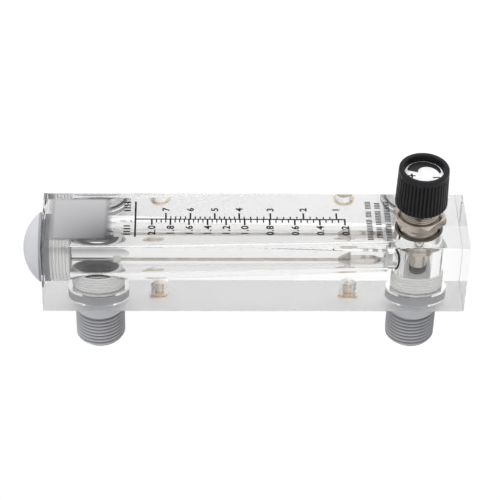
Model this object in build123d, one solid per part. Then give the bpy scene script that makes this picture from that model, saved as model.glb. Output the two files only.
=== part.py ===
from build123d import *
import math
import os

# Panel rotameter. A clear block holds a tapered bore with a float on a guide rod,
# a screw-down inlet valve with a knob on its front, and two threaded pipe ports at its back.
# Z runs up the float's bore, the scale face looks along -Y and the ports along +Y.
# The origin is the middle of the block's bottom end. Lengths are in millimetres.

# Clear block
block_width = 35.0
block_depth = 35.0
block_height = 176.0
block_edge = 0.5

# Clearances
screwed_gap = 0.05
running_gap = 0.08
seal_gap = 0.03
rest_gap = 0.2

# Float bore, down from the block's top end
bore_from_front = 14.8
taper_low_r = 5.95
taper_high_r = 10.1
taper_below_outlet = 15.0
outlet_chamber_r = 10.2
bore_floor_height = 32.6
passage_r = 4.45

# Pipe ports, screwed in from the back
inlet_height = 19.8
outlet_from_top = 23.0
port_thread_r = 10.48
port_thread_root_r = 9.5
port_thread_pitch = 1.814
port_thread_flat = 0.3
port_thread_turns = 8
port_thread_length = 16.4
port_neck_r = 10.7
port_neck_length = 11.0
port_end_r = 9.4
port_bore_r = 6.25
port_mouth_r = 9.4
port_mouth_depth = 2.6
port_flange_r = 12.8
port_flange_thick = 4.2
port_recess_depth = 6.2
port_screw_r = 11.0
port_behind_bore = 5.8
port_tap_runout = 0.4
seat_hole_r = 4.9
seat_rim_width = 0.8
seat_rim_height = 0.5
seat_throat = 3.0

# Outlet plug, screwed in from the top end
plug_dome_r = 14.5
plug_rim = 1.2
plug_dome_rise = 7.0
plug_screw_r = 11.0
plug_tap_depth = 14.0
plug_wall = 2.6
plug_web = 5.5
plug_port_gap = 0.4
rod_boss_r = 3.0
rod_grip = 4.0

# Rubber rings
flange_ring_section = 1.2
bonnet_ring_section = 0.9
stem_ring_section = 1.6
ring_flats = 8

# Guide rod, its support and the float's stop
rod_r = 1.2
support_hub_r = 2.0
support_hub_rise = 2.6
support_rim_r = 5.7
support_rim_thick = 1.0
support_depth = 2.0
support_wall = 0.8
support_arm = 0.9
support_arm_count = 3
support_socket_floor = 1.0
stop_below_outlet = 9.9
stop_r = 2.6
stop_length = 3.0

# Float
float_nose_r = 2.0
float_nose_length = 2.9
float_body_r = 3.55
float_body_length = 10.0
float_head_r = 6.1
float_head_length = 4.5
float_crown_r = 1.9

# Valve chamber and bonnet, in the front wall
front_wall = 6.5
chamber_r = 10.2
bonnet_flange_r = 9.9
bonnet_flange_thick = 2.2
bonnet_shoulder_r = 8.5
bonnet_shoulder_short = 0.4
bonnet_neck_r = 8.0
bonnet_neck_reach = 9.4
bonnet_neck_chamfer = 0.5
bonnet_thread_length = 6.4
gasket_r = 10.1
gasket_thick = 1.0
nut_across_flats = 19.5
nut_thick = 3.6
nut_turn = 17.0
nut_chamfer_angle = 30.0

# Valve stem
piston_r = 6.8
piston_head_room = 5.0
stem_ring_setback = 2.5
stem_ring_pitch = 2.8
stem_thread_r = 4.0
stem_thread_reach = 1.1
stem_shaft_r = 3.0
stem_flat = 0.6
valve_opening = 1.1
seal_disc_r = 6.6
seal_disc_thick = 2.0
seal_disc_edge = 0.7
seal_button_r = 3.0
seal_button_neck_r = 2.2
seal_button_thick = 0.6

# Knob
knob_stand_off = 0.5
knob_height = 17.7
knob_base_r = 10.85
knob_top_r = 10.1
knob_top_round = 0.7
knob_wall = 1.9
knob_roof = 6.8
knob_hub_r = 4.7
knob_hub_setback = 1.0
knob_recess_r = 8.2
knob_recess_depth = 2.6
knob_clamp_web = 1.2
flute_count = 42
flute_r = 0.62
flute_depth = 0.42
flute_stop = 1.9
label_thick = 0.3
screw_head_r = 2.8
screw_head_thick = 2.0
screw_head_room = 0.4
screw_r = 1.5
screw_length = 7.0
screw_socket_r = 1.1
screw_socket_depth = 1.1

# Brass panel inserts in the back face
insert_from_end = 48.4
insert_r = 4.5
insert_hole_r = 2.5
insert_length = 7.6
insert_groove = 0.4
insert_groove_count = 4
insert_groove_pitch = 1.16
insert_groove_width = 0.5
insert_pocket = 0.6
insert_drill_point = 1.3

# Places worked out from the sizes
front = -block_depth / 2
back = block_depth / 2
bore_y = front + bore_from_front
outlet_height = block_height - outlet_from_top
taper_top = outlet_height - taper_below_outlet
plug_tap_floor = block_height - plug_tap_depth
plug_end = outlet_height + port_screw_r + plug_port_gap
port_inner = bore_y + port_behind_bore
port_recess_floor = back - port_recess_depth
plug_ring_r = plug_screw_r + screwed_gap + flange_ring_section / 2
plug_recess_r = plug_ring_r + flange_ring_section / 2 + screwed_gap
chamber_top = front + front_wall
bonnet_top = front - bonnet_neck_reach
bonnet_step = bonnet_top + bonnet_thread_length
bonnet_bottom = chamber_top + bonnet_flange_thick
piston_bore_r = piston_r + running_gap
piston_top = bonnet_step + piston_head_room
piston_bottom = port_inner - valve_opening - seal_disc_thick
knob_bottom = bonnet_top - knob_stand_off
knob_top = knob_bottom - knob_height
knob_recess_floor = knob_top + knob_recess_depth + label_thick
screw_seat = knob_recess_floor + screw_head_thick + screw_head_room
stem_end = screw_seat + knob_clamp_web
knob_cavity_roof = knob_top + knob_roof
hub_top = bore_floor_height + support_hub_rise
rod_foot = bore_floor_height - support_depth + support_socket_floor
float_bottom = hub_top + rest_gap
float_shoulder = float_bottom + float_nose_length + float_body_length
float_top = float_shoulder + float_head_length
stop_bottom = outlet_height - stop_below_outlet
rod_top = plug_end + rod_grip
insert_heights = [insert_from_end, block_height - insert_from_end]


def turned_up(profile):
    """Solid of revolution about Z from a closed outline of (radius, height) points."""
    return revolve(Plane.XZ * make_face(Polyline(*profile, close=True)), Axis.Z)


def turned_across(profile):
    """Solid of revolution about Y from a closed outline of (radius, y) points."""
    return revolve(make_face(Polyline(*profile, close=True)), Axis.Y)


def at_bore(piece):
    """Move a piece made about Z to the float bore's axis."""
    return Pos(0, bore_y, 0) * piece


def at_height(piece, height):
    """Move a piece made about Y to its height on the block."""
    return Pos(0, 0, height) * piece


def rod_across(radius, start, end):
    """Cylinder about Y between two y places."""
    return turned_across([(0, start), (radius, start), (radius, end), (0, end)])


def rubber_ring(ring_r, section):
    """Rubber ring about Z, its round section squeezed to eight flats."""
    squeezed = RegularPolygon(section / 2 - seal_gap, ring_flats, major_radius=False, rotation=180 / ring_flats)
    return revolve(Plane.XZ * Pos(ring_r, 0) * squeezed, Axis.Z)


def make_block():
    """Clear block with the float bore, valve chamber, port holes and insert pockets."""
    block = Pos(0, 0, block_height / 2) * Box(block_width, block_depth, block_height)
    block = chamfer(block.edges(), block_edge)
    float_bore = turned_up([
        (0, inlet_height),
        (passage_r, inlet_height),
        (passage_r, bore_floor_height),
        (taper_low_r, bore_floor_height),
        (taper_high_r, taper_top),
        (outlet_chamber_r, taper_top),
        (outlet_chamber_r, plug_tap_floor),
        (plug_screw_r + screwed_gap, plug_tap_floor),
        (plug_screw_r + screwed_gap, block_height - flange_ring_section),
        (plug_recess_r, block_height - flange_ring_section),
        (plug_recess_r, block_height),
        (0, block_height),
    ])
    block -= at_bore(float_bore)
    port_tap_end = port_inner - port_tap_runout
    port_hole = rod_across(port_screw_r + screwed_gap, port_tap_end, port_recess_floor)
    port_hole += rod_across(port_flange_r + screwed_gap, port_recess_floor, back)
    for height in (inlet_height, outlet_height):
        block -= at_height(port_hole, height)
    block -= at_height(rod_across(chamber_r, chamber_top, port_tap_end), inlet_height)
    block -= at_height(rod_across(bonnet_shoulder_r + screwed_gap, front, chamber_top), inlet_height)
    pocket_r = insert_r + screwed_gap
    pocket_floor = back - insert_length - insert_pocket
    pocket = turned_across([
        (0, pocket_floor - insert_drill_point),
        (pocket_r, pocket_floor),
        (pocket_r, back),
        (0, back),
    ])
    for height in insert_heights:
        block -= at_height(pocket, height)
    return block


def thread_rings(start):
    """Outline points of the pipe thread's ridges from their start along Y, as plain rings."""
    flank = (port_thread_pitch - 2 * port_thread_flat) / 2
    points = [(port_thread_r, start)]
    for index in range(port_thread_turns):
        crest_end = start + index * port_thread_pitch + port_thread_flat
        root_start = crest_end + flank
        root_end = root_start + port_thread_flat
        points += [
            (port_thread_r, crest_end),
            (port_thread_root_r, root_start),
            (port_thread_root_r, root_end),
            (port_thread_r, root_end + flank),
        ]
    points += [(port_thread_r, start + port_thread_turns * port_thread_pitch + port_thread_flat)]
    return points


def make_port(height, with_seat):
    """Threaded pipe port with its flange; the inlet's inner end is the valve's seat."""
    flange_face = port_recess_floor + flange_ring_section
    thread_start = back + port_neck_length
    outer_end = thread_start + port_thread_length
    body = turned_across([
        (port_bore_r, port_inner),
        (port_screw_r, port_inner),
        (port_screw_r, flange_face),
        (port_flange_r, flange_face),
        (port_flange_r, flange_face + port_flange_thick),
        (port_neck_r, flange_face + port_flange_thick),
        (port_neck_r, thread_start),
        *thread_rings(thread_start),
        (port_end_r, outer_end),
        (port_bore_r, outer_end),
    ])
    if not with_seat:
        body -= turned_across([
            (0, port_inner),
            (port_mouth_r, port_inner),
            (port_bore_r, port_inner + port_mouth_depth),
            (0, port_inner + port_mouth_depth),
        ])
    else:
        seat_face = port_inner + seat_rim_height
        rim_r = seat_hole_r + seat_rim_width
        body -= rod_across(port_screw_r + screwed_gap, port_inner, seat_face)
        body += turned_across([
            (seat_hole_r, port_inner),
            (rim_r, port_inner),
            (rim_r, seat_face),
            (port_bore_r + seat_rim_width, seat_face),
            (port_bore_r + seat_rim_width, seat_face + seat_throat),
            (seat_hole_r, seat_face + seat_throat),
        ])
    return at_height(body, height)


def make_port_ring(height):
    """Rubber ring under a port's flange, on the floor of its recess."""
    ring = Rot(90, 0, 0) * rubber_ring((port_screw_r + port_flange_r) / 2 + screwed_gap, flange_ring_section)
    return Pos(0, port_recess_floor + flange_ring_section / 2, height) * ring


def make_plug():
    """Domed plug that closes the top end and holds the guide rod."""
    dome_base = block_height + plug_rim
    dome_top = dome_base + plug_dome_rise
    web_face = block_height - plug_web
    half_chord = math.hypot(plug_dome_r, plug_dome_rise) / 2
    dome_radius = half_chord ** 2 * 2 / plug_dome_rise
    outline = Polyline(
        (plug_dome_r, dome_base),
        (plug_dome_r, block_height),
        (plug_screw_r, block_height),
        (plug_screw_r, plug_end),
        (plug_screw_r - plug_wall, plug_end),
        (plug_screw_r - plug_wall, web_face),
        (rod_boss_r, web_face),
        (rod_boss_r, plug_end),
        (0, plug_end),
        (0, dome_top),
    )
    cap = CenterArc(
        (0, dome_top - dome_radius),
        dome_radius,
        90,
        -math.degrees(math.asin(plug_dome_r / dome_radius)),
    )
    body = revolve(Plane.XZ * make_face([*outline.edges(), cap]), Axis.Z)
    body -= Pos(0, 0, plug_end) * Cylinder(rod_r + seal_gap, rod_grip, align=(Align.CENTER, Align.CENTER, Align.MIN))
    return at_bore(body)


def make_plug_ring():
    """Rubber ring under the plug's rim, in a recess round the mouth of its hole."""
    ring = rubber_ring(plug_ring_r, flange_ring_section)
    return at_bore(Pos(0, 0, block_height - flange_ring_section / 2) * ring)


def make_guide_rod():
    """Straight rod from the support's socket to the plug's boss."""
    return at_bore(turned_up([(0, rod_foot), (rod_r, rod_foot), (rod_r, rod_top), (0, rod_top)]))


def make_rod_support():
    """Spider in the bore's floor: a rim, arms and the hub that the rod and float stand on."""
    low = bore_floor_height - support_depth
    ring_r = passage_r - screwed_gap
    rim = turned_up([
        (ring_r - support_wall, low),
        (ring_r, low),
        (ring_r, bore_floor_height),
        (support_rim_r, bore_floor_height),
        (support_rim_r, bore_floor_height + support_rim_thick),
        (ring_r - support_wall, bore_floor_height + support_rim_thick),
    ])
    hub = turned_up([
        (0, low),
        (support_hub_r, low),
        (support_hub_r, hub_top),
        (0, hub_top),
    ])
    arm_length = ring_r - support_wall / 2
    arm_height = support_depth + support_rim_thick
    arm = Pos(0, 0, low) * Box(arm_length, support_arm, arm_height, align=(Align.MIN, Align.CENTER, Align.MIN))
    spider = rim + hub
    for index in range(support_arm_count):
        spider += Rot(0, 0, index * 360 / support_arm_count) * arm
    socket = turned_up([
        (0, rod_foot),
        (rod_r + seal_gap, rod_foot),
        (rod_r + seal_gap, hub_top),
        (0, hub_top),
    ])
    return at_bore(spider - socket)


def make_float_stop():
    """Collar on the guide rod that stops the float below the outlet port."""
    return at_bore(turned_up([
        (rod_r + seal_gap, stop_bottom),
        (stop_r, stop_bottom),
        (stop_r, stop_bottom + stop_length),
        (rod_r + seal_gap, stop_bottom + stop_length),
    ]))


def make_float():
    """Metal float, read at its widest edge, with the guide rod through it."""
    hole_r = rod_r + running_gap
    return at_bore(turned_up([
        (hole_r, float_bottom),
        (float_nose_r, float_bottom),
        (float_body_r, float_bottom + float_nose_length),
        (float_body_r, float_shoulder),
        (float_head_r, float_shoulder),
        (float_crown_r, float_top),
        (hole_r, float_top),
    ]))


def make_bonnet():
    """Valve bonnet: inner flange, shoulder in the wall's hole, threaded neck and piston bore."""
    groove_r = (bonnet_shoulder_r + bonnet_flange_r) / 2
    groove = bonnet_ring_section / 2 + seal_gap
    shoulder_end = front + bonnet_shoulder_short
    return at_height(turned_across([
        (piston_bore_r, bonnet_bottom),
        (bonnet_flange_r, bonnet_bottom),
        (bonnet_flange_r, chamber_top),
        (groove_r + groove, chamber_top),
        (groove_r + groove, chamber_top + bonnet_ring_section),
        (groove_r - groove, chamber_top + bonnet_ring_section),
        (groove_r - groove, chamber_top),
        (bonnet_shoulder_r, chamber_top),
        (bonnet_shoulder_r, shoulder_end),
        (bonnet_neck_r, shoulder_end),
        (bonnet_neck_r, bonnet_top + bonnet_neck_chamfer),
        (bonnet_neck_r - bonnet_neck_chamfer, bonnet_top),
        (stem_thread_r + running_gap, bonnet_top),
        (stem_thread_r + running_gap, bonnet_step),
        (piston_bore_r, bonnet_step),
    ]), inlet_height)


def make_bonnet_ring():
    """Rubber ring in the bonnet flange's groove, against the front wall."""
    ring = Rot(90, 0, 0) * rubber_ring((bonnet_shoulder_r + bonnet_flange_r) / 2, bonnet_ring_section)
    return Pos(0, chamber_top + bonnet_ring_section / 2, inlet_height) * ring


def make_nut_gasket():
    """Flat rubber gasket between the nut and the scale face."""
    hole_r = bonnet_neck_r + screwed_gap
    return at_height(turned_across([
        (hole_r, front),
        (gasket_r, front),
        (gasket_r, front - gasket_thick),
        (hole_r, front - gasket_thick),
    ]), inlet_height)


def make_nut():
    """Hexagon nut on the bonnet's neck, with the corners of its outer face turned off."""
    corner_r = nut_across_flats / 2 / math.cos(math.radians(30))
    face_r = nut_across_flats / 2
    chamfer_depth = (corner_r - face_r) * math.tan(math.radians(nut_chamfer_angle))
    near = front - gasket_thick
    far = near - nut_thick
    hexagon = Plane.XZ * RegularPolygon(corner_r, 6, rotation=nut_turn)
    body = Pos(0, near, 0) * extrude(hexagon, nut_thick)
    envelope = turned_across([
        (0, near),
        (corner_r, near),
        (corner_r, far + chamfer_depth),
        (face_r, far),
        (0, far),
    ])
    body = body & envelope
    body -= rod_across(bonnet_neck_r + screwed_gap, near, far)
    return at_height(body, inlet_height)


def stem_ring_places():
    """Y places of the two rubber rings on the stem's piston, outer first."""
    first = piston_top + stem_ring_setback
    return [first, first + stem_ring_pitch]


def make_stem():
    """Valve stem: seal button, grooved piston, thread, and flatted shaft for the knob."""
    groove_half = stem_ring_section / 2 + seal_gap
    groove_r = piston_r - stem_ring_section
    neck_end = port_inner - valve_opening
    profile = [
        (0, neck_end + seal_button_thick),
        (seal_button_r, neck_end + seal_button_thick),
        (seal_button_r, neck_end),
        (seal_button_neck_r, neck_end),
        (seal_button_neck_r, piston_bottom),
        (piston_r, piston_bottom),
    ]
    for place in reversed(stem_ring_places()):
        profile += [
            (piston_r, place + groove_half),
            (groove_r, place + groove_half),
            (groove_r, place - groove_half),
            (piston_r, place - groove_half),
        ]
    thread_end = bonnet_top - stem_thread_reach
    profile += [
        (piston_r, piston_top),
        (stem_thread_r, piston_top),
        (stem_thread_r, thread_end),
        (stem_shaft_r, thread_end),
        (stem_shaft_r, stem_end),
        (0, stem_end),
    ]
    stem = turned_across(profile)
    flat_length = knob_bottom - stem_end
    flat = Pos(stem_shaft_r - stem_flat, stem_end, 0) * Box(
        stem_flat + seal_gap, flat_length, 2 * stem_shaft_r, align=(Align.MIN, Align.MIN, Align.CENTER))
    stem -= flat
    stem -= rod_across(screw_r + seal_gap, stem_end, screw_seat + screw_length + screw_head_room)
    return at_height(stem, inlet_height)


def make_stem_ring(place):
    """Rubber ring in one of the piston's grooves."""
    ring = Rot(90, 0, 0) * rubber_ring(piston_r - stem_ring_section / 2, stem_ring_section)
    return Pos(0, place, inlet_height) * ring


def make_seal_disc():
    """Rubber disc on the piston's end that closes on the inlet's seat."""
    low = piston_bottom + seal_disc_thick
    disc = turned_across([
        (seal_button_neck_r + seal_gap, piston_bottom),
        (seal_disc_r, piston_bottom),
        (seal_disc_r, low - seal_disc_edge),
        (seal_disc_r - seal_disc_edge, low),
        (seal_button_neck_r + seal_gap, low),
    ])
    return at_height(disc, inlet_height)


def make_knob():
    """Hollow fluted knob with a hub, a flat in the hub's bore and a recess for the label."""
    side_slope = (knob_base_r - knob_top_r) / knob_height
    body = turned_across([(0, knob_bottom), (knob_base_r, knob_bottom), (knob_top_r, knob_top), (0, knob_top)])
    rim = body.edges().filter_by(GeomType.CIRCLE).sort_by(Axis.Y)[0]
    body = fillet(rim, knob_top_round)
    flute_end = knob_top + flute_stop
    flute_length = knob_bottom - flute_end
    end_r = knob_top_r + side_slope * flute_stop + flute_r - flute_depth
    tilt = math.degrees(math.atan(side_slope))
    flute = Cylinder(flute_r, flute_length * 1.1, align=(Align.CENTER, Align.CENTER, Align.MIN))
    flute = Pos(end_r, flute_end, 0) * Rot(0, 0, -tilt) * Rot(-90, 0, 0) * flute
    body -= [Rot(0, index * 360 / flute_count, 0) * flute for index in range(flute_count)]
    cavity_r = knob_base_r - flute_depth - knob_wall
    hub_end = knob_bottom - knob_hub_setback
    body -= turned_across([
        (knob_hub_r, knob_cavity_roof),
        (cavity_r - side_slope * (knob_height - knob_roof), knob_cavity_roof),
        (cavity_r, knob_bottom),
        (0, knob_bottom),
        (0, hub_end),
        (knob_hub_r, hub_end),
    ])
    body -= turned_across([
        (0, knob_top),
        (knob_recess_r, knob_top),
        (knob_recess_r, knob_recess_floor),
        (screw_head_r + rest_gap, knob_recess_floor),
        (screw_head_r + rest_gap, screw_seat),
        (screw_r + rest_gap, screw_seat),
        (screw_r + rest_gap, stem_end),
        (0, stem_end),
    ])
    shaft_hole = rod_across(stem_shaft_r + seal_gap, stem_end, hub_end)
    key = Pos(stem_shaft_r - stem_flat + seal_gap, stem_end, 0) * Box(
        stem_flat, hub_end - stem_end, 2 * knob_hub_r, align=(Align.MIN, Align.MIN, Align.CENTER))
    body -= shaft_hole - key
    return at_height(body, inlet_height)


def make_knob_screw():
    """Socket screw that clamps the knob to the stem."""
    head_top = screw_seat - screw_head_thick
    screw = turned_across([
        (0, head_top),
        (screw_head_r, head_top),
        (screw_head_r, screw_seat),
        (screw_r, screw_seat),
        (screw_r, screw_seat + screw_length),
        (0, screw_seat + screw_length),
    ])
    socket = Plane.XZ * RegularPolygon(screw_socket_r, 6)
    screw -= Pos(0, head_top + screw_socket_depth, 0) * extrude(socket, screw_socket_depth)
    return at_height(screw, inlet_height)


def make_knob_label():
    """Thin disc on the recess floor that shows which way to turn."""
    label = rod_across(knob_recess_r - rest_gap, knob_recess_floor - label_thick, knob_recess_floor)
    return at_height(label, inlet_height)


def make_insert(height):
    """Brass insert with a tapped hole and a plain collar, grooved inside the block to grip it."""
    inner = back - insert_length
    floor_r = insert_r - insert_groove
    profile = [(insert_hole_r, inner), (insert_r, inner)]
    for index in range(insert_groove_count):
        end = inner + (index + 1) * insert_groove_pitch
        start = end - insert_groove_width
        profile += [(insert_r, start), (floor_r, start), (floor_r, end), (insert_r, end)]
    profile += [(insert_r, back), (insert_hole_r, back)]
    return at_height(turned_across(profile), height)


outer_ring, inner_ring = stem_ring_places()
nodes = {
    "meter_block": make_block(),
    "inlet_port": make_port(inlet_height, True),
    "outlet_port": make_port(outlet_height, False),
    "inlet_port_ring": make_port_ring(inlet_height),
    "outlet_port_ring": make_port_ring(outlet_height),
    "outlet_plug": make_plug(),
    "outlet_plug_ring": make_plug_ring(),
    "guide_rod": make_guide_rod(),
    "rod_support": make_rod_support(),
    "float_stop": make_float_stop(),
    "float": make_float(),
    "valve_bonnet": make_bonnet(),
    "bonnet_ring": make_bonnet_ring(),
    "nut_gasket": make_nut_gasket(),
    "bonnet_nut": make_nut(),
    "valve_stem": make_stem(),
    "stem_ring_outer": make_stem_ring(outer_ring),
    "stem_ring_inner": make_stem_ring(inner_ring),
    "seal_disc": make_seal_disc(),
    "knob": make_knob(),
    "knob_screw": make_knob_screw(),
    "knob_label": make_knob_label(),
    "insert_lower": make_insert(insert_heights[0]),
    "insert_upper": make_insert(insert_heights[1]),
}

os.makedirs("parts", exist_ok=True)
for name, piece in nodes.items():
    export_step(piece, f"parts/{name}.step")
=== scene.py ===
"""Looks of the panel rotameter: clear block, printed scale, ports, float, valve and knob.

Z runs up the float's bore, the scale faces -Y and the pipe ports come out along +Y. Sizes are in
millimetres and become metres as a mesh is made.
"""

import logging
import math
from dataclasses import dataclass, replace
from enum import Enum
from typing import Sequence

import bmesh
import bpy
from mathutils import Matrix, Vector

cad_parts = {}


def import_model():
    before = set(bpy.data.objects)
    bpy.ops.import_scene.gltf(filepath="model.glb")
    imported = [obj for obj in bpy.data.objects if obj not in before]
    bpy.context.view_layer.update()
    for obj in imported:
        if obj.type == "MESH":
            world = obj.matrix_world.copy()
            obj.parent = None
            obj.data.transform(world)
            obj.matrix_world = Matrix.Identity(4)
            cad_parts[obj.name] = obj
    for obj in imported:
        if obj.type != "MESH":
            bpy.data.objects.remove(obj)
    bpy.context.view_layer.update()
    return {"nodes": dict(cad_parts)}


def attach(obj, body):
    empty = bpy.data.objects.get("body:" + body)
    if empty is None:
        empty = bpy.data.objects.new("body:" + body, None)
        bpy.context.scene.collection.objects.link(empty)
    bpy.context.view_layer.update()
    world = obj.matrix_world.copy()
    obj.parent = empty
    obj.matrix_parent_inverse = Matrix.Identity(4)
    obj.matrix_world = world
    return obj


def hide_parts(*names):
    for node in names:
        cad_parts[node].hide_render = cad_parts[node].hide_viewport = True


log = logging.getLogger("rotameter")

Span = tuple[float, float]
Point = tuple[float, float, float]
Colour = tuple[float, float, float]
Outline = Sequence[Span]
Tones = tuple[Span, ...]
Mesh = bmesh.types.BMesh
Object = bpy.types.Object
Material = bpy.types.Material
Socket = bpy.types.NodeSocket
Outputs = bpy.types.NodeOutputs

MM = 0.001
BORE_Y = -2.7
FRONT = -17.5
BACK = 17.5
# How far the acrylic reaches into what it holds, because a thin gap between them would shine.
CONTACT = 0.02
# Bends in degrees beyond which edges stay crisp, on solid pieces and on print.
SHARP = 28.0
SHARP_PRINT = 5.0
GREY_ABS: Colour = (0.36, 0.363, 0.38)
BLACK_ABS: Colour = (0.006, 0.006, 0.007)
FLOAT_STEEL: Colour = (0.72, 0.68, 0.64)
STEEL: Colour = (0.6, 0.56, 0.52)
NICKEL: Colour = (0.58, 0.52, 0.46)
BRASS: Colour = (0.92, 0.78, 0.64)
WHITE: Tones = ((0.0, 1.0), (1.0, 1.0))


class Turn(Enum):
    """The line that a turned piece is spun about. A line across the block has its height as value."""

    UP_THE_BORE = 0.0
    THROUGH_THE_INLET = 19.8
    THROUGH_THE_OUTLET = 153.0
    LOWER_INSERT = 48.4
    UPPER_INSERT = 127.6

    @property
    def place(self) -> Matrix:
        """Give the move from a mesh spun about Z to its place on the meter.

        Returns:
            The matrix that puts the mesh's own Z on this line.
        """
        if self is Turn.UP_THE_BORE:
            return Matrix.Translation((0.0, BORE_Y * MM, 0.0))
        return Matrix.Translation((0.0, 0.0, self.value * MM)) @ Matrix.Rotation(-math.pi / 2, 4, "X")


def turned(outline: Outline, steps: int = 96) -> Mesh:
    """Spin an outline about Z into a closed turned solid.

    Args:
        outline: Points of (radius, height). An outline that starts and ends on the axis stays open
            there, and any other is closed back to its first point.
        steps: Faces around the piece.

    Returns:
        The solid, with its faces pointing outwards.
    """
    mesh = bmesh.new()
    points = [mesh.verts.new((radius * MM, 0.0, height * MM)) for radius, height in outline]
    pairs = list(zip(points, points[1:]))
    if outline[0][0] > 0 or outline[-1][0] > 0:
        pairs.append((points[-1], points[0]))
    edges = [mesh.edges.new(pair) for pair in pairs]
    bmesh.ops.spin(mesh, geom=points + edges, cent=(0, 0, 0), axis=(0, 0, 1), angle=math.tau,
                   steps=steps, use_merge=True)
    bmesh.ops.remove_doubles(mesh, verts=mesh.verts, dist=1e-6)
    bmesh.ops.recalc_face_normals(mesh, faces=mesh.faces)
    return mesh


def add_mesh(target: Mesh, extra: Mesh) -> None:
    """Join one mesh to another and free it.

    Args:
        target: The mesh that grows.
        extra: The mesh that is added and then freed.
    """
    data = bpy.data.meshes.new("joined")
    extra.to_mesh(data)
    extra.free()
    target.from_mesh(data)
    bpy.data.meshes.remove(data)


def add_box(mesh: Mesh, *spans: Span) -> None:
    """Add a box to a mesh.

    Args:
        mesh: The mesh.
        spans: Its two ends along X, along Y and along Z.
    """
    verts = bmesh.ops.create_cube(mesh, size=1.0)["verts"]
    bmesh.ops.scale(mesh, vec=[(high - low) * MM for low, high in spans], verts=verts)
    bmesh.ops.translate(mesh, vec=[(low + high) / 2 * MM for low, high in spans], verts=verts)


def thicken(mesh: Mesh, by: float) -> None:
    """Raise flat faces into slabs.

    Args:
        mesh: The mesh, with all its faces level.
        by: The slabs' thickness, up Z.
    """
    thick = bmesh.ops.extrude_face_region(mesh, geom=mesh.faces[:])
    raised = [item for item in thick["geom"] if isinstance(item, bmesh.types.BMVert)]
    bmesh.ops.translate(mesh, vec=(0.0, 0.0, by * MM), verts=raised)
    bmesh.ops.recalc_face_normals(mesh, faces=mesh.faces)


def shade(data: bpy.types.Mesh, sharp: float = SHARP) -> None:
    """Smooth a mesh, but keep edges that bend more than an angle in degrees crisp."""
    data.shade_smooth()
    data.set_sharp_from_angle(angle=math.radians(sharp))


def make_object(name: str, mesh: Mesh, material: Material, place: Matrix = Matrix.Identity(4),
                sharp: float = SHARP) -> Object:
    """Turn a finished mesh into an object whose place is in its vertices.

    Args:
        name: The object's name.
        mesh: The mesh, which is freed.
        material: Its material.
        place: The move from the mesh's own frame to the meter's.
        sharp: Edges that bend more than this, in degrees, stay crisp.

    Returns:
        The linked object.
    """
    bmesh.ops.transform(mesh, matrix=place, verts=mesh.verts)
    data = bpy.data.meshes.new(name)
    mesh.to_mesh(data)
    mesh.free()
    data.materials.append(material)
    shade(data, sharp)
    piece = bpy.data.objects.new(name, data)
    bpy.context.scene.collection.objects.link(piece)
    return piece


def fit_piece(piece: Object, body: str, slot: str, *nodes: str) -> None:
    """Hang a piece on the body that it rides and hide the nodes that it stands for.

    Args:
        piece: The finished object.
        body: The body that it moves with.
        slot: The record's material slot; not used.
        nodes: The solids that it replaces.
    """
    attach(piece, body)
    if nodes:
        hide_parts(*nodes)
    log.info("%s: %d faces, rides %s", piece.name, len(piece.data.polygons), body)


@dataclass(frozen=True)
class ScrewThread:
    """A helical thread on a mesh turned about Z, cut outwards from its root.

    Attributes:
        root: Radius at the bottom of the thread.
        crest: Radius at the top of the thread.
        start: Height where it starts.
        end: Height where it ends.
        pitch: Height gained in one turn.
        flat: Share of the pitch that is flat at the crest, and again at the root.
        runout: Length over which each end fades away.
        chamfer: How far the crest is turned down at the far end, at 45 degrees.
    """

    root: float
    crest: float
    start: float
    end: float
    pitch: float
    flat: float = 0.12
    runout: float = 0.6
    chamfer: float = 0.0

    def tap(self) -> "ScrewThread":
        """Give the tapped hole's thread, drawn in contact with this one."""
        return replace(self, root=self.root - CONTACT, crest=self.crest - CONTACT)

    def rows(self, per_turn: int = 10) -> list[Span]:
        """Give the outline points that the thread is cut from.

        Args:
            per_turn: Rows of faces in one pitch.

        Returns:
            Points of (root radius, height) from the start to the end.
        """
        count = round((self.end - self.start) / self.pitch * per_turn)
        step = (self.end - self.start) / count
        return [(self.root, self.start + index * step) for index in range(count + 1)]

    def cut(self, mesh: Mesh) -> None:
        """Move the thread's vertices out to its helical form.

        Args:
            mesh: The turned mesh, whose outline holds the thread's rows.
        """
        near = 0.002
        for vert in mesh.verts:
            radius = math.hypot(vert.co.x, vert.co.y) / MM
            height = vert.co.z / MM
            past, left = height - self.start, self.end - height
            if abs(radius - self.root) > near or min(past, left) < -near:
                continue
            phase = (height / self.pitch - math.atan2(vert.co.y, vert.co.x) / math.tau) % 1.0
            ridge = (1.0 - abs(2.0 * phase - 1.0) - self.flat) / (1.0 - 2.0 * self.flat)
            fade = min(1.0, past / self.runout, 1.0 if self.chamfer else left / self.runout)
            rise = (self.crest - self.root) * min(1.0, max(0.0, ridge)) * max(0.0, fade)
            top = self.crest - max(0.0, self.chamfer - left)
            vert.co.xy *= min(self.root + rise, top) / radius


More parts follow.
